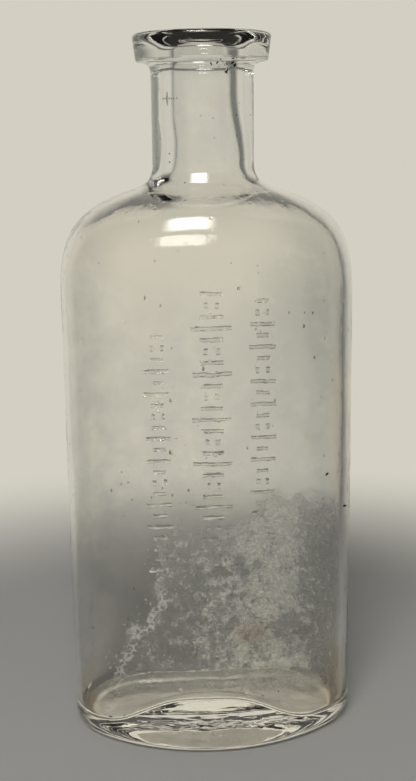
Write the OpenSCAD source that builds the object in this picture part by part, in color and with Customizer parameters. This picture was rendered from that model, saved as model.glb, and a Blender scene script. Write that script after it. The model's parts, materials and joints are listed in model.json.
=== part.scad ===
// Mouth-blown oval medicine bottle with a rounded front, a flat back panel and a tooled lip.
// Millimetres, +Z up. The origin is on the resting plane at the oval's middle, and the front faces -Y.

/* [Body] */
// Height from the resting plane to the top of the lip
total_height = 180; // [172:1:190]
// Width of the oval, end to end
body_width = 75; // [70:1:84]
// Distance of the rounded front from the middle
front_depth = 23; // [22:0.5:26]
// Distance of the flat back panel from the middle
panel_depth = 22.5; // [21.5:0.5:23.5]
// Radius of the oval's two rounded ends
end_radius = 19.5; // [17.5:0.5:20.5]
// Thickness of the blown wall
wall = 2; // [1.6:0.1:3.2]

/* [Base] */
// Height of the thick-walled base zone
base_height = 18; // [17:0.5:20]
// Radius of the rounded heel
heel_radius = 5; // [3.5:0.5:6]
// Thickness of the floor where it meets the wall
floor_edge = 5; // [4.2:0.1:5.4]
// Height of the glass pooled on the floor against the front wall
pool_height = 9.6; // [4:0.1:9.8]
// Depth of the hollow under the base
hollow_depth = 2.6; // [1:0.1:3.2]

/* [Shoulder] */
// Height at which the shoulder starts to turn in
shoulder_start = 117; // [112:1:120]
// Height of the neck root
shoulder_top = 145.5; // [144:0.5:149]

/* [Neck and lip] */
// Sideways place of the hand-set neck, from the oval's middle
neck_offset = -0.8; // [-1.5:0.1:1.5]
// Radius of the neck
neck_radius = 12.7; // [12.2:0.1:13.2]
// Radius of the bore that takes the cork
bore_radius = 7; // [6:0.1:8]
// Depth of the flared mouth above the bore
mouth_depth = 4.2; // [2:0.1:4.5]
// Distance from the bore to where the flared mouth meets the lip's top
mouth_reach = 8.8; // [7:0.1:9]
// Radius of the lip's upper edge
lip_radius = 17; // [16:0.1:18.5]
// Radius of the lip's lower edge
lip_lower_radius = 16.4; // [15:0.1:16.4]
// Height of the lip's side
lip_height = 6.5; // [5:0.1:8]

/* [Marks and residue] */
// How far the raised marks stand out from the panel
mark_relief = 0.5; // [0.3:0.1:0.8]
// Width of one raised mark
mark_width = 1.1; // [0.8:0.1:1.4]
// Thickness of the dried residue on the inside of the panel
residue_thickness = 0.3; // [0.2:0.1:0.5]
// Height of the residue's upper edge
residue_top = 46; // [30:1:60]

/* [Hidden] */
$fn = 96;

glass = [0.80, 0.83, 0.80, 0.45];
residue = [0.62, 0.60, 0.55];

// The oval: two end circles, a front arc that touches them both, and a straight back
end_x = body_width / 2 - end_radius;
end_y = panel_depth - end_radius;
front_drop = front_depth + end_y;
front_radius = (pow(front_drop, 2) - pow(end_radius, 2) + pow(end_x, 2)) / (2 * (front_drop - end_radius));
front_y = front_radius - front_depth;
front_angle = atan2(end_x, front_y - end_y);

// Steps along each stretch of the oval in the faceted zones
front_steps = 24;
end_steps = 16;
back_steps = 12;
curve_steps = 11;

// Radius of the neck root, where the shoulder ends
root_radius = neck_radius + 0.9;
root_height = 3;
lip_bottom = total_height - lip_height;
lip_cone = 1.2;
lip_round = 0.8;
mouth_width = min(mouth_reach, lip_radius - lip_round - bore_radius);
mouth_steps = 9;

// Angle at which the flared mouth crosses the outside of the neck's tube
mouth_at_neck = acos(1 - (neck_radius - bore_radius) / mouth_width);

// Raised marks: three columns across the panel, each a repeating row of bar lengths, 0 for two beads
mark_columns = [-12.5, 3, 16.8];
column_bottom = [35, 14.5, 25];
column_top = [104, 116, 113];
mark_lengths = [[8, 4.6, 0, 4.6, 8, 4.6], [12, 7, 0, 7], [8, 0, 4.6, 8, 4.6]];
mark_pitch = 3.2;
bead_radius = 0.8;
bead_gap = 2.8;

function arc_points(x, y, radius, from, to, steps) =
  [for (i = [0 : steps - 1]) let (a = from + (to - from) * i / steps) [x + radius * sin(a), y - radius * cos(a)]];

// Points of the oval, set in by a distance, anticlockwise from the left end of the front arc
function oval(inset) = concat(
  arc_points(0, front_y, front_radius - inset, -front_angle, front_angle, front_steps),
  arc_points(end_x, end_y, end_radius - inset, front_angle, 180, end_steps),
  [for (i = [0 : back_steps - 1]) [end_x * (1 - 2 * i / back_steps), panel_depth - inset]],
  arc_points(-end_x, end_y, end_radius - inset, 180, 360 - front_angle, end_steps)
);

// Points of the neck's circle, spread in the way that the oval's points are
function round_ring(radius, inset) =
  [for (p = oval(inset))
    let (a = atan2(p.y / panel_depth, p.x / (body_width / 2)))
    [neck_offset + radius * cos(a), radius * sin(a)]];

// A ring between the oval and a circle, as wide as half_width
function blended(half_width, inset, radius) =
  let (share = (body_width / 2 - inset - half_width) / (body_width / 2 - inset - radius))
  (1 - share) * oval(inset) + share * round_ring(radius, inset);

function at_height(ring, z) = [for (p = ring) [p.x, p.y, z]];

// Height of the glass pooled over a point of the floor: most at the middle of the front, none behind
function pool(p) =
  let (t = min(1, max(0, (2 - p.y) / (front_depth - wall - 2))))
  pool_height * exp(-pow(abs(p.x + 3) / 19, 3)) * t * t * (3 - 2 * t);

function on_floor(ring, z) = [for (p = ring) [p.x, p.y, z + pool(p)]];

function middle(ring) = [for (p = ring) 1] * ring / len(ring);

function bezier(p, t) =
  pow(1 - t, 3) * p[0] + 3 * pow(1 - t, 2) * t * p[1] + 3 * (1 - t) * t * t * p[2] + pow(t, 3) * p[3];

// A closed skin through rings of equal length: closed by a fan at each end, or joined end to end
module skin(rings, joined) {
  n = len(rings[0]);
  m = len(rings);
  last = joined ? m - 1 : m - 2;
  walls = [for (j = [0 : last], i = [0 : n - 1], half = [0, 1])
    let (a = j * n, b = ((j + 1) % m) * n, k = (i + 1) % n)
    half == 0 ? [a + i, b + i, b + k] : [a + i, b + k, a + k]];
  top = (m - 1) * n;
  fans = joined ? [] : [for (i = [0 : n - 1], end = [0, 1])
    let (k = (i + 1) % n)
    end == 0 ? [m * n, i, k] : [m * n + 1, top + k, top + i]];
  ends = joined ? [] : [middle(rings[0]), middle(rings[m - 1])];
  polyhedron(points = concat([for (ring = rings) each ring], ends), faces = concat(walls, fans), convexity = 8);
}

// Thick base: hollow underneath, rounded heel, and a floor with glass pooled against the front
module base() {
  foot_inset = heel_radius + 2;
  dome_steps = 6;
  fillet = 2;
  color(glass)
    skin(concat(
      [for (i = [0 : dome_steps - 1])
        let (k = (i + 0.5) / dome_steps)
        at_height(k * oval(foot_inset), hollow_depth * (1 - k * k))],
      [at_height(oval(foot_inset), 0)],
      [for (a = [0 : 15 : 90])
        at_height(oval(heel_radius * (1 - sin(a))), heel_radius * (1 - cos(a)))],
      [at_height(oval(0), base_height), at_height(oval(wall), base_height)],
      [for (a = [0 : 22.5 : 90])
        on_floor(oval(wall + fillet * (1 - cos(a))), floor_edge + fillet * (1 - sin(a)))],
      [for (i = [dome_steps - 1 : -1 : 0])
        let (k = (i + 0.5) / dome_steps)
        on_floor(k * oval(wall + fillet), floor_edge)]
    ), false);
}

// Straight wall of the oval
module body() {
  color(glass)
    translate([0, 0, base_height])
      linear_extrude(shoulder_start - base_height)
        difference() {
          polygon(oval(0));
          polygon(oval(wall));
        }
}

// Shoulder: the oval turns in, runs up gently and becomes the round neck root
module shoulder() {
  half = body_width / 2;
  rise = shoulder_top - shoulder_start;
  turn = [[half, 0], [half, 0.5 * rise], [half - 4, 0.75 * rise], [half - 18.5, 0.9 * rise]];
  slope = [[half - 18.5, 0.9 * rise], [half - 21.5, 0.937 * rise], [root_radius + 0.6, 0.96 * rise],
    [root_radius, rise]];
  inner = half - wall;
  inner_turn = [[inner, 0], [inner, 0.47 * rise], [inner - 4.2, 0.67 * rise], [inner - 18.5, 0.81 * rise]];
  inner_slope = [[inner - 18.5, 0.81 * rise], [inner - 24, 0.865 * rise], [bore_radius, 0.88 * rise],
    [bore_radius, rise]];
  outer_line = concat(
    [for (i = [0 : curve_steps - 1]) bezier(turn, i / curve_steps)],
    [for (i = [0 : 2 : curve_steps]) bezier(slope, i / curve_steps)],
    [slope[3]]
  );
  inner_line = concat(
    [for (i = [0 : curve_steps - 1]) bezier(inner_turn, i / curve_steps)],
    [for (i = [0 : 2 : curve_steps]) bezier(inner_slope, i / curve_steps)],
    [inner_slope[3]]
  );
  color(glass)
    skin(concat(
      [for (p = outer_line) at_height(blended(p.x, 0, root_radius), shoulder_start + p.y)],
      [for (i = [len(inner_line) - 1 : -1 : 0])
        let (p = inner_line[i])
        at_height(blended(p.x, wall, bore_radius), shoulder_start + p.y)]
    ), true);
}

// The flared mouth: how far out and up it is, from the bore at 0 degrees to the lip's top at 90
function mouth(a) =
  [bore_radius + mouth_width * (1 - cos(a)), total_height - mouth_depth * (1 - sin(a))];

// Neck: a thick tube with the cork's bore, flared at its root and its mouth
module neck() {
  color(glass)
    translate([neck_offset, 0, 0])
      difference() {
        union() {
          translate([0, 0, shoulder_top])
            cylinder(h = root_height, r1 = root_radius, r2 = neck_radius);
          translate([0, 0, shoulder_top + root_height])
            cylinder(h = total_height - shoulder_top - root_height, r = neck_radius);
        }
        translate([0, 0, shoulder_top - 1])
          cylinder(h = total_height - shoulder_top + 2, r = bore_radius);
        rotate_extrude()
          polygon(concat(
            [[0, total_height + 1], [0, total_height - mouth_depth]],
            [for (i = [0 : mouth_steps]) mouth(90 * i / mouth_steps)],
            [[bore_radius + mouth_width, total_height + 1]]
          ));
      }
}

// Lip: a ring round the neck's top, wider above, with a short cone under it
module lip() {
  side_foot = lip_bottom + lip_round;
  side_head = total_height - lip_round;
  color(glass)
    translate([neck_offset, 0, 0])
      rotate_extrude() {
        polygon([
          [neck_radius, lip_bottom - lip_cone],
          [lip_lower_radius - lip_round, lip_bottom],
          [lip_lower_radius, side_foot],
          [lip_radius, side_head],
          [lip_radius - lip_round, total_height],
          for (i = [0 : mouth_steps])
            mouth(90 + (mouth_at_neck - 90) * i / mouth_steps)
        ]);
        translate([lip_radius - lip_round, side_head])
          circle(r = lip_round);
        translate([lip_lower_radius - lip_round, side_foot])
          circle(r = lip_round);
      }
}

// Raised marks: three upright scales of plain cross bars and beads on the outside of the panel
module panel_marks() {
  color(glass)
    for (c = [0 : len(mark_columns) - 1])
      translate([mark_columns[c], panel_depth, 0])
        mark_scale(mark_lengths[c], column_bottom[c], column_top[c]);
}

// One scale: its bars and pairs of beads, one pitch apart
module mark_scale(lengths, bottom, top) {
  count = floor((top - bottom) / mark_pitch);
  for (i = [0 : count])
    let (length = lengths[i % len(lengths)])
      translate([0, 0, bottom + i * mark_pitch])
        if (length > 0)
          translate([-length / 2, 0, -mark_width / 2])
            cube([length, mark_relief, mark_width]);
        else
          bead_pair();
}

module bead_pair() {
  for (side = [-1, 1])
    translate([side * bead_gap / 2, mark_relief, 0])
      rotate([90, 0, 0])
        cylinder(h = mark_relief, r = bead_radius, $fn = 24);
}

// Residue: a thin dried skin on the inside of the back panel, with a ragged top
module residue_film() {
  inside = panel_depth - wall;
  low = floor_edge + 4;
  slant = 20;
  color(residue)
    translate([0, inside, 0])
      rotate([90, 0, 0])
        linear_extrude(residue_thickness)
          polygon([
            [-end_x, low],
            [end_x, low],
            [end_x, residue_top - 4],
            [end_x - 9, residue_top],
            [2, residue_top - 7],
            [-8, residue_top - 9],
            [-end_x, residue_top - slant]
          ]);
}

base();
body();
shoulder();
neck();
lip();
panel_marks();
residue_film();
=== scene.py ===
import functools
import json
import math

import bmesh
import bpy
import numpy as np
from mathutils import Matrix, Vector, noise


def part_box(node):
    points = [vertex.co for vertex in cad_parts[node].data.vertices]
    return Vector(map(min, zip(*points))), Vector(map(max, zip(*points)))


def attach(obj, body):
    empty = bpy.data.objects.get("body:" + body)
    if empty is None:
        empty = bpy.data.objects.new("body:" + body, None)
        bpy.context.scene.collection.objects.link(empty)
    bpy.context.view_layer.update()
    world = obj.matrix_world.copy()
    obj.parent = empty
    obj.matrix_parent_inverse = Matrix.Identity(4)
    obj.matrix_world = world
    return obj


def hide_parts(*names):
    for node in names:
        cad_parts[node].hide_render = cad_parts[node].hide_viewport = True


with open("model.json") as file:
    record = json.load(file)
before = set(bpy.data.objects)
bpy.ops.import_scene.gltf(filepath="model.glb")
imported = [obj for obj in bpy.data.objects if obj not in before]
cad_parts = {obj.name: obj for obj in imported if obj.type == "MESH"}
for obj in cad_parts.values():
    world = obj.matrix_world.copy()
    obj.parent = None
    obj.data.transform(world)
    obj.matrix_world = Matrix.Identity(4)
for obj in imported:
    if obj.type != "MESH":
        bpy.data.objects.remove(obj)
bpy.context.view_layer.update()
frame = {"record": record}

# ------------------------------------------------------------ sizes, in metres, from the frame
MM = 0.001
BODY_LOW, BODY_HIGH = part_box("body")
SHOULDER_LOW, SHOULDER_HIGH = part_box("shoulder")
LIP_LOW, LIP_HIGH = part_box("lip")
MARKS_LOW, MARKS_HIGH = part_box("panel_marks")
FILM_LOW, FILM_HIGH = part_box("residue_film")
MOUTH = next(m for m in frame["record"]["mounts"] if m["kind"] == "bore")
BORE = MOUTH["dims"]["r_mm"] * MM
NECK_X = MOUTH["pos_m"][0]

HALF_WIDTH = BODY_HIGH[0]
FRONT = -BODY_LOW[1]
PANEL = BODY_HIGH[1]
SHOULDER_START = BODY_HIGH[2]
SHOULDER_TOP = SHOULDER_HIGH[2]
TOP = LIP_HIGH[2]
LIP_RADIUS = LIP_HIGH[0] - NECK_X
LIP_FOOT = LIP_LOW[2]
RELIEF = MARKS_HIGH[1] - PANEL

# sizes that the glassmaker's hand gives, beside those of the frame
END_RADIUS = 19.5 * MM
NECK_RADIUS = 12.7 * MM
ROOT_RADIUS = 13.6 * MM
LIP_TAPER = 0.6 * MM
MOUTH_REACH = 8.8 * MM
MOUTH_DEPTH = 4.2 * MM
ROOT_FLARE = 3.2 * MM
BORE_FLARE = 3.5 * MM
BORE_DRIFT = 1.3 * MM
BORE_PINCH = 0.35 * MM
WALL_PANEL = 2.3 * MM
WALL_END = 1.6 * MM
WALL_HEAVY = 0.8 * MM
HEEL_RADIUS = 5.0 * MM
FOOT_INSET = 7.0 * MM
HOLLOW = 2.4 * MM
BASE_WANDER = 0.22 * MM
FLOOR_EDGE = 5.0 * MM
POOL_HEIGHT = 9.6 * MM
POOL_MIDDLE = -3.0 * MM
POOL_SPREAD = 19.0 * MM
FLOOR_FILLET = 2.0 * MM
LIP_CORNER = 0.8 * MM
LIP_UNDERSIDE = 1.2 * MM
WAVE_OUTSIDE = 0.09 * MM
WAVE_INSIDE = 0.30 * MM
FILM_GAP = 0.10 * MM
FILM_THICKNESS = 0.07 * MM
NECK_BUBBLE_HEIGHT = 164.6 * MM

# the tool's lap mark in the lip: bearing and spread in degrees, drop from the top, slant
# for each degree, depth and width
FOLD_BEARING, FOLD_SPREAD = 58, 17
FOLD_DROP, FOLD_SLANT = 3.6 * MM, 0.055 * MM
FOLD_DEPTH, FOLD_WIDTH = 0.30 * MM, 0.85 * MM

# the soft fillet under the lip: how far out from the neck and up from the lip's foot
LIP_FILLET = [(0.04, -0.9), (0.12, -0.5), (0.26, -0.12), (0.48, 0.24), (0.78, 0.55), (1.2, 0.82),
              (1.8, 1.02)]

# steps round the oval: front arc, right end, back panel, left end
FRONT_STEPS, END_STEPS, BACK_STEPS = 64, 40, 36


def smooth(a, b, x):
    """0 below a, 1 above b, and a soft step between."""
    t = np.clip((np.asarray(x, float) - a) / (b - a), 0, 1)
    return t * t * (3 - 2 * t)


def bezier(points, t):
    """The point at t along a cubic curve."""
    p = np.asarray(points, float)
    u = 1 - t
    return u ** 3 * p[0] + 3 * u ** 2 * t * p[1] + 3 * u * t * t * p[2] + t ** 3 * p[3]


# ------------------------------------------------------------ the oval and the rings of the vessel
def oval_sizes():
    """Centre of the round ends, and the radius and centre of the bowed front."""
    end_x = HALF_WIDTH - END_RADIUS
    end_y = PANEL - END_RADIUS
    drop = FRONT + end_y
    front_radius = (drop ** 2 - END_RADIUS ** 2 + end_x ** 2) / (2 * (drop - END_RADIUS))
    return end_x, end_y, front_radius, front_radius - FRONT


def oval_outline():
    """Points of the body's outline and their outward directions, anticlockwise from front left."""
    end_x, end_y, front_radius, front_y = oval_sizes()
    reach = math.atan2(end_x, front_y - end_y)

    def arc(x, y, radius, start, stop, steps):
        a = start + (stop - start) * np.arange(steps) / steps
        way = np.stack([np.sin(a), -np.cos(a)], 1)
        return np.array([x, y]) + radius * way, way

    back_x = end_x * (1 - 2 * np.arange(BACK_STEPS) / BACK_STEPS)
    back_line = np.stack([back_x, np.full(BACK_STEPS, PANEL)], 1)
    back = back_line, np.tile([0.0, 1.0], (BACK_STEPS, 1))
    parts = [
        arc(0, front_y, front_radius, -reach, reach, FRONT_STEPS),
        arc(end_x, end_y, END_RADIUS, reach, math.pi, END_STEPS),
        back,
        arc(-end_x, end_y, END_RADIUS, math.pi, 2 * math.pi - reach, END_STEPS),
    ]
    return np.concatenate([p[0] for p in parts]), np.concatenate([p[1] for p in parts])


OUTLINE, OUTWARD = oval_outline()
ROUND = OUTLINE / [HALF_WIDTH, PANEL]
ROUND = ROUND / np.linalg.norm(ROUND, axis=1)[:, None]
NECK_CENTRE = np.array([NECK_X, 0.0])
SIDEWAYS = np.abs(OUTWARD[:, 0])
WALL = WALL_PANEL + (WALL_END - WALL_PANEL) * SIDEWAYS + WALL_HEAVY * np.clip(OUTWARD[:, 0], 0, 1)


def oval(inset):
    inset = np.broadcast_to(inset, len(OUTLINE))
    return OUTLINE - inset[:, None] * OUTWARD


def blended(half_width, inset, radius):
    """A ring between the oval, set in by a distance, and a circle, at a given half width."""
    full = HALF_WIDTH - np.min(inset)
    share = (full - half_width) / (full - radius)
    return (1 - share) * oval(inset) + share * (NECK_CENTRE + radius * ROUND)


def pool(ring):
    """Height of the glass pooled on the floor: most at the middle of the front, none behind."""
    back_to_front = smooth(0, 1, (2 * MM - ring[:, 1]) / (FRONT - 4 * MM))
    from_middle = np.abs((ring[:, 0] - POOL_MIDDLE) / POOL_SPREAD)
    return POOL_HEIGHT * np.exp(-from_middle ** 3) * back_to_front


def wander(ring, seed):
    """Uneven height of the glass where it was never touched by a tool."""
    broad = [noise.noise(Vector((x * 130, y * 230, seed))) for x, y in ring]
    fine = [noise.noise(Vector((x * 420, y * 600, seed))) for x, y in ring]
    return BASE_WANDER * (np.array(broad) + 0.5 * np.array(fine))


class Skin:
    """Rings stacked into one closed surface, with the amount that each ring may ripple."""

    def __init__(self):
        self.rings, self.ripple = [], []

    def add(self, ring, z, ripple=0.0):
        self.rings.append(np.column_stack([ring, np.broadcast_to(z, len(ring))]))
        self.ripple.append(ripple)

    def add_round(self, points, ripple=0.0):
        for radius, z in points:
            self.add(NECK_CENTRE + radius * ROUND, z, ripple)


def arc_line(r, z, radius, start, stop, steps):
    """Points of a round corner of a turned profile, between two angles in degrees."""
    turn = np.radians(np.linspace(start, stop, steps))
    return [(r + radius * math.cos(a), z + radius * math.sin(a)) for a in turn]


def outside(skin):
    """The outer surface, from the middle of the hollow base up to the mouth."""
    for k in np.linspace(0.04, 1.0, 16)[:-1]:
        ring = k * oval(FOOT_INSET)
        skin.add(ring, HOLLOW * (1 - k ** 3) + wander(ring, 3.0) * (1 - k ** 4))
    skin.add(oval(FOOT_INSET), 0.12 * MM)
    skin.add(oval(FOOT_INSET - 0.7 * MM), 0.0)
    for a in np.radians(np.linspace(0, 90, 14)):
        skin.add(oval(HEEL_RADIUS * (1 - math.sin(a))), HEEL_RADIUS * (1 - math.cos(a)), 0.3 * a)
    for z in np.arange(HEEL_RADIUS + 2 * MM, SHOULDER_START, 2.2 * MM):
        skin.add(oval(0), z, 1.0)
    rise = SHOULDER_TOP - SHOULDER_START
    half = HALF_WIDTH
    turn = [(half, 0), (half, 0.5 * rise), (half - 4 * MM, 0.75 * rise),
            (half - 18.5 * MM, 0.9 * rise)]
    slope = [(half - 18.5 * MM, 0.9 * rise), (half - 21.5 * MM, 0.937 * rise),
             (ROOT_RADIUS + 0.6 * MM, 0.96 * rise), (ROOT_RADIUS, rise)]
    for line, steps in ((turn, 40), (slope, 16)):
        for t in np.arange(steps) / steps:
            w, z = bezier(line, t)
            skin.add(blended(w, 0, ROOT_RADIUS), SHOULDER_START + z, 1.0)
    for z in np.linspace(SHOULDER_TOP, LIP_FOOT - 1.4 * MM, 26):
        flare = (ROOT_RADIUS - NECK_RADIUS) * (1 - min(1, (z - SHOULDER_TOP) / ROOT_FLARE)) ** 2
        skin.add(NECK_CENTRE + (NECK_RADIUS + flare) * ROUND, z, 1.0)
    low_r, high_r = LIP_RADIUS - LIP_TAPER, LIP_RADIUS
    low_z, high_z = LIP_FOOT + LIP_UNDERSIDE + LIP_CORNER, TOP - LIP_CORNER
    rim = [(NECK_RADIUS + out * MM, LIP_FOOT + up * MM) for out, up in LIP_FILLET]
    rim += arc_line(low_r - LIP_CORNER, low_z, LIP_CORNER, -80, 5, 8)
    side_foot = low_z + 0.1 * MM
    rim += [(low_r + (high_r - low_r) * share, side_foot + (high_z - side_foot) * share)
            for share in np.linspace(0, 1, 9)[1:-1]]
    rim += arc_line(high_r - LIP_CORNER, high_z, LIP_CORNER, 5, 88, 9)
    for a in np.radians(np.linspace(4, 88, 22)):
        rim.append((BORE + MOUTH_REACH * (1 - math.sin(a)), TOP - MOUTH_DEPTH * (1 - math.cos(a))))
    skin.add_round(rim, 0.8)


def inside(skin):
    """The inner surface, from the mouth down the bore to the middle of the pushed-up floor."""
    bore_foot = SHOULDER_TOP + BORE_FLARE
    to_right, to_left = np.clip(ROUND[:, 0], 0, 1), np.clip(-ROUND[:, 0], 0, 1)
    for z in np.linspace(TOP - MOUTH_DEPTH - 0.4 * MM, bore_foot + 1 * MM, 26):
        drift = BORE_DRIFT * smooth(TOP - 14 * MM, bore_foot, z) * to_right ** 2
        pinch = BORE_PINCH * math.exp(-((z - bore_foot - 5 * MM) / (4 * MM)) ** 2) * to_left
        skin.add(NECK_CENTRE + (BORE + drift - pinch)[:, None] * ROUND, z, -1.0)
    rise = SHOULDER_TOP - SHOULDER_START
    full = HALF_WIDTH - np.min(WALL)
    turn = [(full, 0), (full, 0.477 * rise), (full - 4.1 * MM, 0.677 * rise),
            (full - 18.5 * MM, 0.81 * rise)]
    slope = [(full - 18.5 * MM, 0.81 * rise), (full - 24 * MM, 0.865 * rise),
             (BORE + 0.4 * MM, 0.93 * rise), (BORE, rise + BORE_FLARE)]
    for line, steps in ((slope, 20), (turn, 36)):
        for t in 1 - np.arange(steps) / steps:
            w, z = bezier(line, t)
            drift = BORE_DRIFT * max(0.0, (full - w) / (full - BORE)) ** 4 * to_right ** 2
            skin.add(blended(w, WALL, BORE) + drift[:, None] * ROUND, SHOULDER_START + z, -1.0)
    skin.wall_starts = len(skin.rings)
    wall_ring = oval(WALL)
    wall_foot = FLOOR_EDGE + FLOOR_FILLET + pool(wall_ring)
    for share in np.arange(50) / 50:
        skin.add(wall_ring, SHOULDER_START + (wall_foot - SHOULDER_START) * share, -1.0)
    skin.floor_starts = len(skin.rings)
    for a in np.radians(np.linspace(0, 90, 10)):
        ring = oval(WALL + FLOOR_FILLET * (1 - math.cos(a)))
        skin.add(ring, FLOOR_EDGE + FLOOR_FILLET * (1 - math.sin(a)) + pool(ring), -0.6)
    for k in np.linspace(1.0, 0.03, 30)[1:]:
        ring = k * oval(WALL + FLOOR_FILLET)
        skin.add(ring, FLOOR_EDGE + pool(ring) + wander(ring, 11.0) * (1 - k ** 8), -0.4)


def rippled(rings, ripple):
    """Hand-blown glass: the outside is nearly true, and the inside wanders more."""
    count = len(OUTLINE)
    points = rings.copy()
    for j, amount in enumerate(ripple):
        if amount == 0:
            continue
        deep = WAVE_INSIDE if amount < 0 else WAVE_OUTSIDE
        for i in range(count):
            x, y, z = rings[j, i]
            at = Vector((x * 55, y * 55, z * 20 + (7 if amount < 0 else 0)))
            swell = noise.noise(at) + 0.35 * noise.noise(at * 2.7)
            in_by = deep * abs(amount) * (0.9 + swell) * 0.5
            way = ROUND[i] if z > SHOULDER_TOP else OUTWARD[i]
            points[j, i, :2] -= way * in_by if amount > 0 else -way * (in_by - deep * 0.45)
    return points


def lip_fold(points):
    """The tool's lap mark in the lip's right side: a shallow slanting groove."""
    reach = np.hypot(points[..., 0] - NECK_X, points[..., 1])
    bearing = np.degrees(np.arctan2(points[..., 0] - NECK_X, -points[..., 1]))
    across = points[..., 2] - (TOP - FOLD_DROP) + (bearing - FOLD_BEARING) * FOLD_SLANT
    along = np.exp(-((bearing - FOLD_BEARING) / FOLD_SPREAD) ** 2)
    groove = FOLD_DEPTH * np.exp(-(across / FOLD_WIDTH) ** 2) * along
    on_rim = (reach > NECK_RADIUS + 1.5 * MM) & (points[..., 2] > LIP_FOOT)
    points[..., :2] *= (1 - np.where(on_rim, groove / np.maximum(reach, 1e-6), 0))[..., None]
    return points


def closed_mesh(name, points):
    """One quad surface through the rings, closed by a fan at each end."""
    rings, count = points.shape[:2]
    first, last = points[0].mean(0), points[-1].mean(0)
    verts = [tuple(v) for v in points.reshape(-1, 3)] + [tuple(first), tuple(last)]
    faces = []
    for j in range(rings - 1):
        for i in range(count):
            k = (i + 1) % count
            faces.append((j * count + i, j * count + k, (j + 1) * count + k, (j + 1) * count + i))
    foot, head = len(verts) - 2, len(verts) - 1
    top_row = (rings - 1) * count
    for i in range(count):
        k = (i + 1) % count
        faces.append((foot, k, i))
        faces.append((head, top_row + i, top_row + k))
    mesh = bpy.data.meshes.new(name)
    mesh.from_pydata(verts, [], faces)
    mesh.polygons.foreach_set("use_smooth", [True] * len(mesh.polygons))
    mesh.update()
    return mesh


def new_object(name, mesh, material):
    piece = bpy.data.objects.new(name, mesh)
    bpy.context.scene.collection.objects.link(piece)
    mesh.materials.clear()
    mesh.materials.append(material)
    return piece


# ------------------------------------------------------------ node helpers
class Nodes:
    """Short ways to add nodes to a tree and to join them."""

    def __init__(self, tree):
        self.tree = tree

    def feed(self, socket, value):
        if isinstance(value, bpy.types.NodeSocket):
            self.tree.links.new(value, socket)
        else:
            socket.default_value = value

    def add(self, kind, inputs=None, **settings):
        node = self.tree.nodes.new(kind)
        for key, value in settings.items():
            setattr(node, key, value)
        for key, value in (inputs or {}).items():
            self.feed(node.inputs[key], value)
        return node

    def math(self, operation, *values):
        node = self.add("ShaderNodeMath", dict(enumerate(values)), operation=operation)
        return node.outputs[0]

    def times(self, *values):
        return functools.reduce(lambda a, b: self.math("MULTIPLY", a, b), values)

    def plus(self, *values):
        return functools.reduce(lambda a, b: self.math("ADD", a, b), values)

    def minus(self, *values):
        return functools.reduce(lambda a, b: self.math("SUBTRACT", a, b), values)

    def most(self, *values):
        return functools.reduce(lambda a, b: self.math("MAXIMUM", a, b), values)

    def vector(self, operation, *values):
        node = self.add("ShaderNodeVectorMath", dict(enumerate(values)), operation=operation)
        return node.outputs[1] if operation == "LENGTH" else node.outputs[0]

    def fade(self, value, start, stop, low=0.0, high=1.0):
        """Soft step: low before start, high after stop."""
        node = self.add("ShaderNodeMapRange", {"Value": value, "From Min": start, "From Max": stop,
                                               "To Min": low, "To Max": high},
                        interpolation_type="SMOOTHSTEP")
        return node.outputs[0]

    def mix(self, factor, a, b, blend="MIX"):
        node = self.add("ShaderNodeMix", data_type="RGBA", blend_type=blend)
        for key, value in (("Factor", factor), ("A", a), ("B", b)):
            socket = next(s for s in node.inputs if s.name == key and s.enabled)
            self.feed(socket, (*value, 1) if isinstance(value, tuple) else value)
        return next(o for o in node.outputs if o.enabled)

    def scaled(self, vector, factor):
        return self.add("ShaderNodeVectorMath", {0: vector, "Scale": factor},
                        operation="SCALE").outputs[0]

    def xyz(self, x=0.0, y=0.0, z=0.0):
        return self.add("ShaderNodeCombineXYZ", {"X": x, "Y": y, "Z": z}).outputs[0]

    def split(self, vector):
        return self.add("ShaderNodeSeparateXYZ", {0: vector}).outputs

    def millimetres(self):
        """The piece's own coordinates, in millimetres."""
        return self.scaled(self.add("ShaderNodeTexCoord").outputs["Object"], 1 / MM)

    def use(self, group, **inputs):
        node = self.add("ShaderNodeGroup", node_tree=group)
        for key, value in inputs.items():
            self.feed(node.inputs[key], value)
        return node.outputs[0]


def new_group(name, kind, inputs, outputs):
    """A node group with named inputs (socket kind and default value) and outputs."""
    group = bpy.data.node_groups.new(name, kind)
    for label, (socket, value) in inputs.items():
        item = group.interface.new_socket(label, in_out="INPUT", socket_type="NodeSocket" + socket)
        if value is not None:
            item.default_value = value
    for label, socket in outputs.items():
        group.interface.new_socket(label, in_out="OUTPUT", socket_type="NodeSocket" + socket)
    nodes = Nodes(group)
    return nodes, nodes.add("NodeGroupInput").outputs, nodes.add("NodeGroupOutput").inputs


# ------------------------------------------------------------ shared effects
def patch_mask_group():
    """1 inside a soft-edged blob round a centre, 0 outside it."""
    n, entry, out = new_group("patch_mask", "ShaderNodeTree", {
        "Place": ("Vector", None), "Centre": ("Vector", (0, 0, 0)),
        "Reach": ("Vector", (10, 10, 10)), "Softness": ("Float", 0.5)}, {"Mask": "Float"})
    off = n.vector("DIVIDE", n.vector("SUBTRACT", entry["Place"], entry["Centre"]), entry["Reach"])
    far = n.vector("LENGTH", off)
    outer = n.plus(1.0, entry["Softness"])
    inner = n.minus(1.0, entry["Softness"])
    n.feed(out["Mask"], n.fade(far, outer, inner))
    return n.tree


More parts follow.
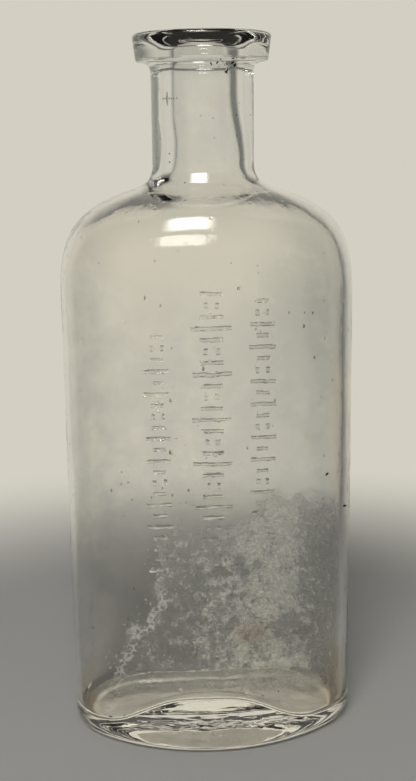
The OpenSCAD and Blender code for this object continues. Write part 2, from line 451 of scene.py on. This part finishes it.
def mottle_group():
    """Patches of dried matter: Cover says how much of the surface they take."""
    n, entry, out = new_group("mottle", "ShaderNodeTree", {
        "Place": ("Vector", None), "Scale": ("Float", 0.2), "Cover": ("Float", 0.5),
        "Edge": ("Float", 0.1)}, {"Mask": "Float"})
    grain = n.add("ShaderNodeTexNoise", {
        "Vector": entry["Place"], "Scale": entry["Scale"], "Detail": 7.0, "Roughness": 0.68,
        "Distortion": 0.35})
    spread = n.plus(n.times(n.minus(grain.outputs[0], 0.5), 2.4), 0.5)
    level = n.minus(1.0, entry["Cover"])
    n.feed(out["Mask"], n.fade(spread, n.minus(level, entry["Edge"]),
                               n.plus(level, entry["Edge"])))
    return n.tree


def blown_ripple_group():
    """Height of the fine waves, drawn streaks and small pits of a hand-blown surface."""
    n, entry, out = new_group("blown_ripple", "ShaderNodeTree", {
        "Place": ("Vector", None), "Wave": ("Float", 0.16), "Pits": ("Float", 0.25)},
        {"Height": "Float"})
    drawn = n.vector("MULTIPLY", entry["Place"], (1.0, 1.0, 0.35))
    wave = n.add("ShaderNodeTexNoise", {"Vector": drawn, "Scale": entry["Wave"], "Detail": 3.0})
    level = n.vector("MULTIPLY", entry["Place"], (0.3, 0.3, 1.0))
    streak = n.add("ShaderNodeTexNoise", {"Vector": level, "Scale": 0.5, "Detail": 2.0})
    cells = n.add("ShaderNodeTexVoronoi", {"Vector": entry["Place"], "Scale": 0.35})
    pit = n.times(n.fade(cells.outputs["Distance"], 0.16, 0.02), entry["Pits"])
    height = n.plus(wave.outputs[0], n.times(streak.outputs[0], 0.25))
    n.feed(out["Height"], n.minus(height, pit))
    return n.tree


# ------------------------------------------------------------ materials
def new_material(name):
    material = bpy.data.materials.new(name)
    material.use_nodes = True
    tree = material.node_tree
    return material, tree, tree.nodes["Principled BSDF"]


GLASS_TINT = (0.972, 0.966, 0.935)
GREY_HAZE = (0.845, 0.85, 0.838)
WARM_HAZE = (0.975, 0.945, 0.885)
BROWN_STAIN = (0.84, 0.70, 0.50)


def blown_glass(name, wave, pits):
    """Old clear glass: faint tint, cloudy patches, brown stains, broad darker tints (on the lip
    partly painted shade) and a waved surface.
    """
    material, tree, shader = new_material(name)
    n = Nodes(tree)
    place = n.millimetres()
    clouds = n.use(mottle, Place=place, Scale=0.045, Cover=0.52, Edge=0.30)
    colour = n.mix(n.times(clouds, 0.5), GLASS_TINT, WARM_HAZE)
    # each patch tints the glass darker; on the lip this is painted shade as well as grime
    for centre, reach, cover, shade in HAZE_AND_SHADE_PATCHES:
        blob = n.use(patch_mask, Place=place, Centre=centre, Reach=reach, Softness=0.45)
        spots = n.use(mottle, Place=place, Scale=0.09, Cover=cover, Edge=0.35)
        colour = n.mix(n.times(blob, spots), colour, shade)
    tree.links.new(colour, shader.inputs["Base Color"])
    ripple = n.use(blown_ripple, Place=place, Wave=wave, Pits=pits)
    bump = n.add("ShaderNodeBump", {"Height": ripple, "Strength": 0.35, "Distance": 0.0002})
    tree.links.new(bump.outputs[0], shader.inputs["Normal"])
    shader.inputs["Transmission Weight"].default_value = 1.0
    shader.inputs["Roughness"].default_value = 0.03
    shader.inputs["IOR"].default_value = 1.52
    return material


# a mottled darker patch over the right of the body, cloudy and stained places on the glass, then
# three broad grey tints that darken the lip, the body and the neck, on the lip painted shade for its
# dark band as well as grime: centre, reach, cover and shade
HAZE_AND_SHADE_PATCHES = [
    ((27, 0, 84), (16, 60, 46), 0.84, (0.735, 0.745, 0.73)),
    ((20, 0, 50), (22, 60, 22), 0.62, GREY_HAZE),
    ((-30, 0, 70), (9, 60, 60), 0.45, GREY_HAZE),
    ((36.5, 0, 76), (2.6, 30, 22), 0.62, BROWN_STAIN),
    ((32.5, 0, 14), (5, 30, 9), 0.60, BROWN_STAIN),
    ((-34.5, -6, 10), (3, 20, 5), 0.55, BROWN_STAIN),
    ((12, 24, 16), (5, 8, 3), 0.55, BROWN_STAIN),
    ((0, 0, 175), (21, 21, 4.5), 0.80, (0.80, 0.80, 0.785)),
    ((0, 0, 66), (46, 60, 50), 0.62, (0.87, 0.87, 0.86)),
    ((-3, 0, 158), (16, 20, 17), 0.60, (0.895, 0.90, 0.895)),
]


def dried_residue():
    """Dried medicine: a mottled grey film on the back wall, an even film on the floor, and a painted
    highlight as a bright line round the back of the floor's edge.
    """
    material, tree, shader = new_material("dried_residue")
    n = Nodes(tree)
    place = n.millimetres()
    x, y, z = n.split(place)
    warp = n.add("ShaderNodeTexNoise", {"Vector": place, "Scale": 0.16, "Detail": 5.0}).outputs[0]
    sway = n.times(n.minus(warp, 0.5), 14.0)
    x_swayed = n.plus(x, n.times(sway, 1.6))
    lean = n.times(n.most(n.minus(26.0, z), 0.0), 0.62)
    from_edge = n.plus(x, 15.0, lean, sway)
    inside_edge = n.fade(from_edge, -0.6, 1.2)
    level = n.minus(n.plus(z, sway), n.times(n.fade(x_swayed, 8.0, 20.0), 10.0))
    below = n.fade(level, 50.0, 42.0)
    behind = n.fade(y, -6.0, 6.0)
    dense = n.fade(x_swayed, -4.0, 20.0, 0.36, 0.72)
    bare = n.use(patch_mask, Place=place, Centre=(23.5, 18, 17), Reach=(4.5, 20, 5), Softness=0.4)
    bare_side = n.fade(x_swayed, 24.0, 31.0)
    cover = n.minus(dense, n.times(bare, 0.45), n.times(bare_side, 0.42))
    spots = n.use(mottle, Place=place, Scale=0.34, Cover=cover, Edge=0.26)
    flecks = n.use(mottle, Place=place, Scale=1.3, Cover=0.45, Edge=0.16)
    even = n.fade(x_swayed, -10.0, 16.0, 0.08, 0.26)
    veil = n.plus(n.times(spots, 0.34), n.times(flecks, 0.34), even)
    wall = n.times(veil, inside_edge, below, behind)

    # the crust along the left edge
    cells = n.add("ShaderNodeTexVoronoi", {"Vector": place, "Scale": 0.55},
                  feature="DISTANCE_TO_EDGE")
    ringed = n.fade(cells.outputs["Distance"], 0.22, 0.05)
    near_edge = n.fade(n.math("ABSOLUTE", n.minus(from_edge, 2.2)), 3.6, 0.8)
    crust = n.times(near_edge, ringed, n.fade(z, 36.0, 26.0), behind)

    # what settled on the floor, and a painted highlight: a bright broken line round its back, where
    # the window's highlight falls on the floor's fillet
    on_floor = n.add("ShaderNodeAttribute", attribute_name="on_floor").outputs["Fac"]
    settled = n.times(n.use(mottle, Place=place, Scale=0.12, Cover=0.75, Edge=0.4), 0.34)
    floor_veil = n.times(n.plus(settled, 0.14), on_floor)
    low_down = n.add("ShaderNodeAttribute", attribute_name="low_down").outputs["Fac"]
    past_side = n.most(n.minus(n.math("ABSOLUTE", x), 17.0), 0.0)
    past_back = n.most(n.minus(y, 8.6), 0.0)
    corner = n.vector("LENGTH", n.xyz(past_side, past_back))
    off_line = n.math("ABSOLUTE", n.minus(corner, 9.4))
    broken = n.use(mottle, Place=place, Scale=0.5, Cover=0.72, Edge=0.35)
    # painted highlight: a near-white line of high alpha along the back of the floor's fillet
    painted_highlight_line = n.times(n.fade(off_line, 0.55, 0.15), low_down, n.fade(y, 7.0, 12.0), broken)

    alpha = n.most(wall, n.times(crust, 0.75), floor_veil, n.times(painted_highlight_line, 0.85))
    tree.links.new(alpha, shader.inputs["Alpha"])
    colour = n.mix(spots, (0.58, 0.585, 0.58), (0.84, 0.84, 0.785))
    colour = n.mix(crust, colour, (0.86, 0.87, 0.86))
    colour = n.mix(on_floor, colour, (0.77, 0.745, 0.69))
    # the painted highlight line is near white
    colour = n.mix(painted_highlight_line, colour, (1.0, 0.98, 0.88))
    rust = n.use(patch_mask, Place=place, Centre=(13, 20, 15), Reach=(5, 20, 3), Softness=0.6)
    colour = n.mix(n.times(rust, 0.5), colour, (0.42, 0.27, 0.18))
    tree.links.new(colour, shader.inputs["Base Color"])
    shader.inputs["Roughness"].default_value = 0.8
    bump = n.add("ShaderNodeBump", {"Height": spots, "Strength": 0.6, "Distance": 0.0002})
    tree.links.new(bump.outputs[0], shader.inputs["Normal"])
    return material


def grains(name, scale, cover, edge, ground, patches, roughness):
    """Matt grains in two colours."""
    material, tree, shader = new_material(name)
    n = Nodes(tree)
    spots = n.use(mottle, Place=n.millimetres(), Scale=scale, Cover=cover, Edge=edge)
    tree.links.new(n.mix(spots, ground, patches), shader.inputs["Base Color"])
    shader.inputs["Roughness"].default_value = roughness
    return material


def dark_grit():
    return grains("dark_grit", 0.08, 0.3, 0.1, (0.012, 0.010, 0.009), (0.16, 0.05, 0.02), 0.85)


def pale_crust():
    return grains("pale_crust", 0.8, 0.6, 0.2, (0.55, 0.56, 0.55), (0.85, 0.86, 0.84), 0.6)


# ------------------------------------------------------------ what repeats, grown by node trees
def random_value(n, low, high, seed, kind="FLOAT"):
    node = n.add("FunctionNodeRandomValue", data_type=kind)
    for label, value in (("Min", low), ("Max", high), ("Seed", seed)):
        n.feed(next(s for s in node.inputs if s.name == label and s.enabled), value)
    return next(o for o in node.outputs if o.enabled)


def finish_tree(n, out, geometry, material):
    """Every tree ends the same way: real geometry with its material."""
    real = n.add("GeometryNodeRealizeInstances", {"Geometry": geometry})
    smooth_mesh = n.add("GeometryNodeSetShadeSmooth", {"Geometry": real.outputs[0]})
    done = n.add("GeometryNodeSetMaterial", {"Geometry": smooth_mesh.outputs[0],
                                             "Material": material})
    n.feed(out["Geometry"], done.outputs[0])
    return n.tree


def pressed_bar_tree():
    """A column of raised bars, each flat against the panel with a rounded back and tapered ends."""
    n, entry, out = new_group("pressed_bars", "GeometryNodeTree", {
        "Count": ("Int", 4), "Pitch": ("Float", 0.003), "Length": ("Float", 0.005),
        "Width": ("Float", 0.001), "Relief": ("Float", 0.0005), "Start": ("Vector", (0, 0, 0)),
        "Material": ("Material", None)}, {"Geometry": "Geometry"})
    step = n.xyz(z=entry["Pitch"])
    line = n.add("GeometryNodeMeshLine", {"Count": entry["Count"], "Start Location": entry["Start"],
                                          "Offset": step})
    half = n.times(entry["Length"], 0.5)
    stroke = n.add("GeometryNodeCurvePrimitiveLine", {"Start": n.xyz(n.times(half, -1.0)),
                                                      "End": n.xyz(half)})
    points = n.add("GeometryNodeResampleCurve", {"Curve": stroke.outputs[0], "Count": 13})
    along = n.add("GeometryNodeSplineParameter").outputs["Factor"]
    from_middle = n.math("ABSOLUTE", n.minus(n.times(along, 2.0), 1.0))
    taper = n.math("SQRT", n.minus(1.02, n.math("POWER", from_middle, 8.0)))
    shaped = n.add("GeometryNodeSetCurveRadius", {"Curve": points.outputs[0], "Radius": taper})
    section = n.add("GeometryNodeCurvePrimitiveCircle", {"Resolution": 12,
                                                         "Radius": n.times(entry["Width"], 0.5)})
    tube = n.add("GeometryNodeCurveToMesh", {
        "Curve": shaped.outputs[0], "Profile Curve": section.outputs[0], "Fill Caps": True})
    x, y, z = n.split(n.add("GeometryNodeInputPosition").outputs[0])
    stand = n.math("DIVIDE", n.times(entry["Relief"], 2.0), entry["Width"])
    lifted = n.times(n.most(y, 0.0), stand)
    pressed = n.add("GeometryNodeSetPosition", {"Geometry": tube.outputs[0],
                                                "Position": n.xyz(x, lifted, z)})
    bars = n.add("GeometryNodeInstanceOnPoints", {"Points": line.outputs[0],
                                                  "Instance": pressed.outputs[0]})
    return finish_tree(n, out, bars.outputs[0], entry["Material"])


def seed_bubble_tree():
    """Small gas bubbles drawn out in the wall, as cavities under its surface."""
    n, entry, out = new_group("seed_bubbles", "GeometryNodeTree", {
        "Geometry": ("Geometry", None), "Density": ("Float", 2000.0), "Depth": ("Float", 0.0007),
        "Size": ("Float", 0.0003), "Stretch": ("Float", 1.6), "Low": ("Float", 0.02),
        "High": ("Float", 0.17), "Seed": ("Int", 1), "Material": ("Material", None)},
        {"Geometry": "Geometry"})
    z = n.split(n.add("GeometryNodeInputPosition").outputs[0])[2]
    above_low = n.math("GREATER_THAN", z, entry["Low"])
    wanted = n.times(above_low, n.math("LESS_THAN", z, entry["High"]))
    spots = n.add("GeometryNodeDistributePointsOnFaces", {
        "Mesh": entry["Geometry"], "Selection": wanted, "Density": entry["Density"],
        "Seed": entry["Seed"]})
    sink = n.scaled(spots.outputs["Normal"], n.times(entry["Depth"], -1.0))
    sunk = n.add("GeometryNodeSetPosition", {"Geometry": spots.outputs["Points"], "Offset": sink})
    ball = n.add("GeometryNodeMeshIcoSphere", {"Radius": 1.0, "Subdivisions": 2})
    hollow = n.add("GeometryNodeFlipFaces", {"Mesh": ball.outputs[0]})
    size = random_value(n, n.times(entry["Size"], 0.35), entry["Size"], entry["Seed"])
    tall = n.times(size, entry["Stretch"])
    bubbles = n.add("GeometryNodeInstanceOnPoints", {
        "Points": sunk.outputs[0], "Instance": hollow.outputs[0], "Scale": n.xyz(size, size, tall)})
    return finish_tree(n, out, bubbles.outputs[0], entry["Material"])


def grain_tree():
    """Uneven grains strewn over a patch of surface."""
    n, entry, out = new_group("strewn_grains", "GeometryNodeTree", {
        "Geometry": ("Geometry", None), "Density": ("Float", 50000.0), "Size": ("Float", 0.0003),
        "Stretch": ("Float", 1.5), "Seed": ("Int", 1), "Material": ("Material", None)},
        {"Geometry": "Geometry"})
    spots = n.add("GeometryNodeDistributePointsOnFaces", {
        "Mesh": entry["Geometry"], "Density": entry["Density"], "Seed": entry["Seed"]})
    ball = n.add("GeometryNodeMeshIcoSphere", {"Radius": 1.0, "Subdivisions": 1})
    rough = n.add("ShaderNodeTexNoise", {"Scale": 1.3})
    from_middle = n.add("GeometryNodeInputPosition").outputs[0]
    dent = n.scaled(from_middle, n.times(rough.outputs[0], 0.7))
    dented = n.add("GeometryNodeSetPosition", {"Geometry": ball.outputs[0], "Offset": dent})
    size = random_value(n, n.times(entry["Size"], 0.3), entry["Size"], entry["Seed"])
    scale = n.xyz(size, n.times(size, entry["Stretch"]), n.times(size, 0.6))
    full_turn = (6.28, 6.28, 6.28)
    turn = random_value(n, (0, 0, 0), full_turn, entry["Seed"], "FLOAT_VECTOR")
    strewn = n.add("GeometryNodeInstanceOnPoints", {
        "Points": spots.outputs["Points"], "Instance": dented.outputs[0], "Scale": scale,
        "Rotation": turn})
    return finish_tree(n, out, strewn.outputs[0], entry["Material"])


def grow(tree, host, values):
    """Runs a node tree on a mesh and gives back a plain mesh."""
    holder = bpy.data.objects.new(tree.name, host)
    bpy.context.scene.collection.objects.link(holder)
    growth = holder.modifiers.new(tree.name, "NODES")
    growth.node_group = tree
    for item in tree.interface.items_tree:
        if item.item_type == "SOCKET" and item.in_out == "INPUT" and item.name in values:
            growth[item.identifier] = values[item.name]
    graph = bpy.context.evaluated_depsgraph_get()
    mesh = bpy.data.meshes.new_from_object(holder.evaluated_get(graph))
    holder.modifiers.clear()
    bpy.data.objects.remove(holder)
    return mesh


def joined(name, meshes):
    """Several meshes as one."""
    whole = bmesh.new()
    for mesh in meshes:
        whole.from_mesh(mesh)
    result = bpy.data.meshes.new(name)
    whole.to_mesh(result)
    whole.free()
    return result


# ------------------------------------------------------------ pieces
def neck_bubbles():
    """A short row of bubbles in the neck's left side, with one long bubble standing across it."""
    row = bmesh.new()
    for step in range(-2, 5):
        bearing = math.radians(-47 + 3.2 * step)
        deep = NECK_RADIUS - 0.45 * MM
        place = Matrix.Translation((NECK_X + deep * math.sin(bearing), -deep * math.cos(bearing),
                                    NECK_BUBBLE_HEIGHT))
        size, tall = (0.26 * MM, 1.7 * MM) if step == 0 else (0.22 * MM, 0.22 * MM)
        shape = Matrix.Diagonal((size, size, tall, 1.0))
        bmesh.ops.create_icosphere(row, subdivisions=2, radius=1.0, matrix=place @ shape)
    bmesh.ops.reverse_faces(row, faces=row.faces)
    for face in row.faces:
        face.smooth = True
    mesh = bpy.data.meshes.new("neck_bubbles")
    row.to_mesh(mesh)
    row.free()
    return mesh


def build_vessel(material):
    skin = Skin()
    outside(skin)
    inside(skin)
    points = lip_fold(rippled(np.array(skin.rings), skin.ripple))
    wall = closed_mesh("glass_vessel", points)
    bubbles = seed_bubble_tree()
    seeds = [grow(bubbles, wall.copy(), {
        "Density": density, "Depth": depth * MM, "Size": size * MM, "Stretch": stretch,
        "Low": low * MM, "High": high * MM, "Seed": seed, "Material": material})
        for density, depth, size, stretch, low, high, seed in SEED_BUBBLES]
    whole = joined("glass_vessel", [wall, *seeds, neck_bubbles()])
    return new_object("glass_vessel", whole, material), wall, skin


# bubbles in the wall: number per square metre, depth, size, stretch, from and to height, seed
SEED_BUBBLES = [
    (1300, 0.75, 0.32, 1.7, 20, 128, 3),
    (1800, 0.60, 0.16, 2.2, 14, 170, 8),
    (9000, 1.0, 0.30, 1.2, 5.2, 16, 5),
]

# columns of marks: place across the panel, from and to height, and the lengths of its bars in
# turn, where 0 is a pair of beads
MARK_COLUMNS = [
    (-12.5, 35, 104, [8, 4.6, 0, 4.6, 8, 4.6]),
    (3, 14.5, 116, [12, 7, 0, 7]),
    (16.8, 25, 113, [8, 0, 4.6, 8, 4.6]),
]
MARK_PITCH, MARK_WIDTH, BEAD_WIDTH, BEAD_GAP = 3.2, 1.1, 1.6, 2.8


def build_raised_scale(material):
    """Generic pressed graduations: columns of bars and pairs of beads on the flat back panel."""
    tree = pressed_bar_tree()
    empty = bpy.data.meshes.new("bars")
    rows = []
    for x, low, high, pattern in MARK_COLUMNS:
        count = int((high - low) / MARK_PITCH) + 1
        for turn, length in enumerate(pattern):
            number = len(range(turn, count, len(pattern)))
            shifts = [0] if length else [-BEAD_GAP / 2, BEAD_GAP / 2]
            for shift in shifts:
                start = ((x + shift) * MM, PANEL + 0.01 * MM, (low + turn * MARK_PITCH) * MM)
                rows.append(grow(tree, empty, {
                    "Count": number, "Pitch": len(pattern) * MARK_PITCH * MM,
                    "Length": (length - MARK_WIDTH if length else BEAD_WIDTH * 0.6) * MM,
                    "Width": (MARK_WIDTH if length else BEAD_WIDTH) * MM,
                    "Relief": RELIEF - 0.03 * MM, "Start": start, "Material": material}))
    return new_object("raised_scale", joined("raised_scale", rows), material)


def build_dried_film(wall, skin, material):
    """A thin closed shell that lies on the inside of the wall and floor."""
    count = len(OUTLINE)
    ring_range = range(len(skin.rings) - 1, skin.wall_starts - 1, -1)
    rows = [wall.vertices[j * count:(j + 1) * count] for j in ring_range]
    verts = np.array([[v.co for v in row] for row in rows])
    out = np.array([[v.normal for v in row] for row in rows])
    near, far = verts + FILM_GAP * out, verts + (FILM_GAP + FILM_THICKNESS) * out
    mesh = closed_mesh("dried_film", np.concatenate([near, far[::-1]]))
    floor_rings = len(skin.rings) - skin.floor_starts
    share = np.zeros(len(ring_range))
    share[:floor_rings - 9] = 1
    low_down = np.zeros(len(ring_range))
    low_down[:floor_rings - 2] = 1
    # low_down marks the low rings where the painted highlight line lies
    for name, marks in (("on_floor", share), ("low_down", low_down)):
        flags = np.repeat(np.concatenate([marks, marks[::-1]]), count).tolist() + [1.0, 1.0]
        mesh.attributes.new(name, "FLOAT", "POINT").data.foreach_set("value", flags)
    return new_object("dried_film", mesh, material)


def surface_patch(wall, centre, reach, facing):
    """The faces of the glass near a place, on the side that faces a direction."""
    patch = bmesh.new()
    patch.from_mesh(wall)
    centre, facing = Vector(centre) * MM, Vector(facing)
    lost = [f for f in patch.faces
            if (f.calc_center_median() - centre).length > reach * MM or f.normal.dot(facing) < 0.2]
    bmesh.ops.delete(patch, geom=lost, context="FACES")
    mesh = bpy.data.meshes.new("patch")
    patch.to_mesh(mesh)
    patch.free()
    return mesh


# grit: middle of the patch, its reach, the way it faces, number per square metre, size,
# stretch and seed
GRIT_PATCHES = [
    ((3.5, -12.2, 172.6), 3.2, (0, -0.4, -0.9), 900000, 0.26, 1.6, 4),
    ((-1.5, -12.6, 155), 13, (0, -1, 0), 26000, 0.16, 1.2, 9),
    ((24.5, -10, 9), 3.0, (0, 0, 1), 160000, 0.42, 1.8, 2),
    ((31.5, 4, 8), 3.5, (-0.7, 0, 0.7), 130000, 0.42, 1.4, 12),
    ((-27, -8, 8), 3.0, (0, 0, 1), 90000, 0.55, 2.2, 6),
    ((20, -5, 6), 14, (0, 0, 1), 9000, 0.30, 1.6, 7),
    ((27, -20, 128), 2.5, (0.3, -1, 0.2), 70000, 0.40, 1.6, 5),
    ((26, -20, 60), 16, (0.2, -1, 0), 4000, 0.28, 2.0, 15),
]


def build_grit(wall, material):
    tree = grain_tree()
    heaps = [grow(tree, surface_patch(wall, centre, reach, facing), {
        "Density": float(density), "Size": size * MM, "Stretch": stretch, "Seed": seed,
        "Material": material})
        for centre, reach, facing, density, size, stretch, seed in GRIT_PATCHES]
    return new_object("grit", joined("grit", heaps), material)


# crust on the back wall along the edge of the dried matter: middle of the patch, its reach,
# number per square metre, size and seed
CRUST_PATCHES = [
    ((-17, 20, 27), 3.0, 120000, 0.30, 21),
    ((-21, 19, 19), 3.0, 150000, 0.34, 22),
    ((-26, 17, 11), 4.0, 150000, 0.36, 23),
    ((-15, 20, 38), 5.0, 30000, 0.26, 24),
    ((8, 20, 36), 14.0, 9000, 0.24, 25),
]


def build_crust(wall, material):
    tree = grain_tree()
    heaps = [grow(tree, surface_patch(wall, centre, reach, (0, -1, 0)), {
        "Density": float(density), "Size": size * MM, "Stretch": 1.2, "Seed": seed,
        "Material": material})
        for centre, reach, density, size, seed in CRUST_PATCHES]
    return new_object("crust_beads", joined("crust_beads", heaps), material)


# ------------------------------------------------------------ stage, light and camera
PALE_WALL = (0.65, 0.625, 0.545)
DIM_WALL = (0.17, 0.17, 0.158)
CLOTH_GREY = (0.34, 0.34, 0.335)
LIT_THROUGH = (0.64, 0.61, 0.51)
LIT_INSET = 3.8 * MM
LIT_SOFTNESS = 1.2 * MM
FLOOR_REACH = 30.0


def room_glow_group():
    """How bright the room is in a direction: pale behind the bottle and in front of it, and
    dimmer at the sides and the top."""
    n, entry, out = new_group("room_glow", "ShaderNodeTree", {"Direction": ("Vector", None)},
                              {"Colour": "Color"})
    x, y, z = n.split(n.vector("NORMALIZE", entry["Direction"]))
    behind = n.fade(n.math("MULTIPLY_ADD", x, -0.15, y), 0.36, 0.74)
    in_front = n.fade(y, -0.30, -0.60, 0.0, 0.85)
    below_top = n.fade(z, 0.74, 0.34)
    lit = n.times(n.most(behind, in_front), below_top)
    n.feed(out["Colour"], n.mix(lit, DIM_WALL, PALE_WALL))
    return n.tree


def under_foot(n, place):
    """1 on the floor under the bottle, 0 outside its foot."""
    end_x, end_y, front_radius, front_y = oval_sizes()
    x, y, _ = n.split(place)
    sideways = n.math("ABSOLUTE", x)
    past_side = n.most(n.minus(sideways, end_x), 0.0)
    past_back = n.minus(y, end_y)
    to_end = n.vector("LENGTH", n.xyz(past_side, n.most(past_back, 0.0)))
    to_front = n.vector("LENGTH", n.xyz(x, n.minus(y, front_y)))
    to_corner = n.vector("LENGTH", n.xyz(past_side, past_back))

    # the round end is the edge only beyond where it meets the bowed front
    meeting_x = end_x + END_RADIUS * math.sin(math.atan2(end_x, front_y - end_y))
    in_end = n.minus(to_corner, END_RADIUS, n.math("LESS_THAN", sideways, meeting_x))
    edge = n.most(n.minus(to_end, END_RADIUS), n.minus(to_front, front_radius), in_end)
    return n.fade(edge, -LIT_INSET, -LIT_INSET - LIT_SOFTNESS)


def build_floor(room_glow):
    """A grey floor that runs out into the room's own glow. It glows by itself under the foot,
    which is brighter than the floor round it and stands for light gathered by the glass."""
    mesh = bpy.data.meshes.new("floor")
    corners = [(FLOOR_REACH * x, FLOOR_REACH * y, 0) for x, y in ((-1, -1), (1, -1), (1, 1), (-1, 1))]
    mesh.from_pydata(corners, [], [(0, 1, 2, 3)])
    material, tree, shader = new_material("pale_floor")
    n = Nodes(tree)
    place = n.add("ShaderNodeTexCoord").outputs["Object"]
    far = n.fade(n.vector("LENGTH", place), 0.11, 0.26)
    under = under_foot(n, place)
    glow = n.use(room_glow, Direction=place)
    n.feed(shader.inputs["Base Color"], n.mix(far, CLOTH_GREY, (0.0, 0.0, 0.0)))
    n.feed(shader.inputs["Emission Color"], n.mix(under, glow, LIT_THROUGH))
    n.feed(shader.inputs["Emission Strength"], n.most(far, under))
    shader.inputs["Roughness"].default_value = 0.9
    shader.inputs["Specular IOR Level"].default_value = 0.0
    floor = new_object("floor", mesh, material)


def build_world(room_glow):
    world = bpy.data.worlds.new("soft_room")
    bpy.context.scene.world = world
    world.use_nodes = True
    n = Nodes(world.node_tree)
    direction = n.add("ShaderNodeTexCoord").outputs["Generated"]
    n.feed(world.node_tree.nodes["Background"].inputs["Color"],
           n.use(room_glow, Direction=direction))
    bpy.context.scene.view_settings.view_transform = "Standard"


def window_pane(name, bearing, height, distance, width, tall, power):
    """A soft window pane that faces the bottle's shoulder. Angles are in degrees."""
    light = bpy.data.lights.new(name, "AREA")
    light.shape = "RECTANGLE"
    light.size, light.size_y = width, tall
    light.energy = power
    light.color = (1.0, 0.99, 0.96)
    light.use_nodes = True
    n = Nodes(light.node_tree)
    u, v, _ = n.split(n.add("ShaderNodeNewGeometry").outputs["Parametric"])
    soft = n.times(n.times(n.fade(u, 0.0, 0.35), n.fade(u, 1.0, 0.65)),
                  n.times(n.fade(v, 0.0, 0.3), n.fade(v, 1.0, 0.7)))
    n.feed(light.node_tree.nodes["Emission"].inputs["Strength"], n.times(soft, 1.6))
    lamp = bpy.data.objects.new(name, light)
    bpy.context.scene.collection.objects.link(lamp)
    b, h = math.radians(bearing), math.radians(height)
    way = Vector((math.sin(b) * math.cos(h), -math.cos(b) * math.cos(h), math.sin(h)))
    target = Vector((0, 0, 0.12))
    lamp.location = target + way * distance
    lamp.rotation_euler = way.to_track_quat("Z", "Y").to_euler()


def build_camera():
    camera = bpy.data.cameras.new("camera")
    camera.sensor_fit = "VERTICAL"
    camera.sensor_height = 24.0
    camera.lens = 36.25
    eye = bpy.data.objects.new("camera", camera)
    bpy.context.scene.collection.objects.link(eye)
    turn, pitch, roll = math.radians(-4.81), math.radians(12.03), math.radians(-0.80)
    stand = Matrix.Translation((-0.0004, -0.299, 0.155))
    aim = Matrix.Rotation(math.pi / 2 - pitch, 4, "X") @ Matrix.Rotation(roll, 4, "Z")
    eye.matrix_world = Matrix.Rotation(turn, 4, "Z") @ stand @ aim
    camera.clip_start = 0.01
    bpy.context.scene.camera = eye


# ------------------------------------------------------------ the object
patch_mask = patch_mask_group()
mottle = mottle_group()
blown_ripple = blown_ripple_group()

build_camera()
room = room_glow_group()
build_world(room)
window_pane("window", bearing=-14, height=39, distance=1.2, width=0.86, tall=0.48, power=17)
build_floor(room)

glass = blown_glass("blown_glass", 0.16, 0.25)
vessel, vessel_wall, vessel_skin = build_vessel(glass)
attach(vessel, "root")
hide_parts("base", "body", "shoulder", "neck", "lip")

pressed_glass = blown_glass("pressed_glass", 0.5, 0.1)
raised_scale = build_raised_scale(pressed_glass)
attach(raised_scale, "root")
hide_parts("panel_marks")

residue = dried_residue()
dried_film = build_dried_film(vessel_wall, vessel_skin, residue)
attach(dried_film, "root")
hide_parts("residue_film")

crust = build_crust(vessel_wall, pale_crust())
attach(crust, "root")

grit = build_grit(vessel_wall, dark_grit())
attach(grit, "root")
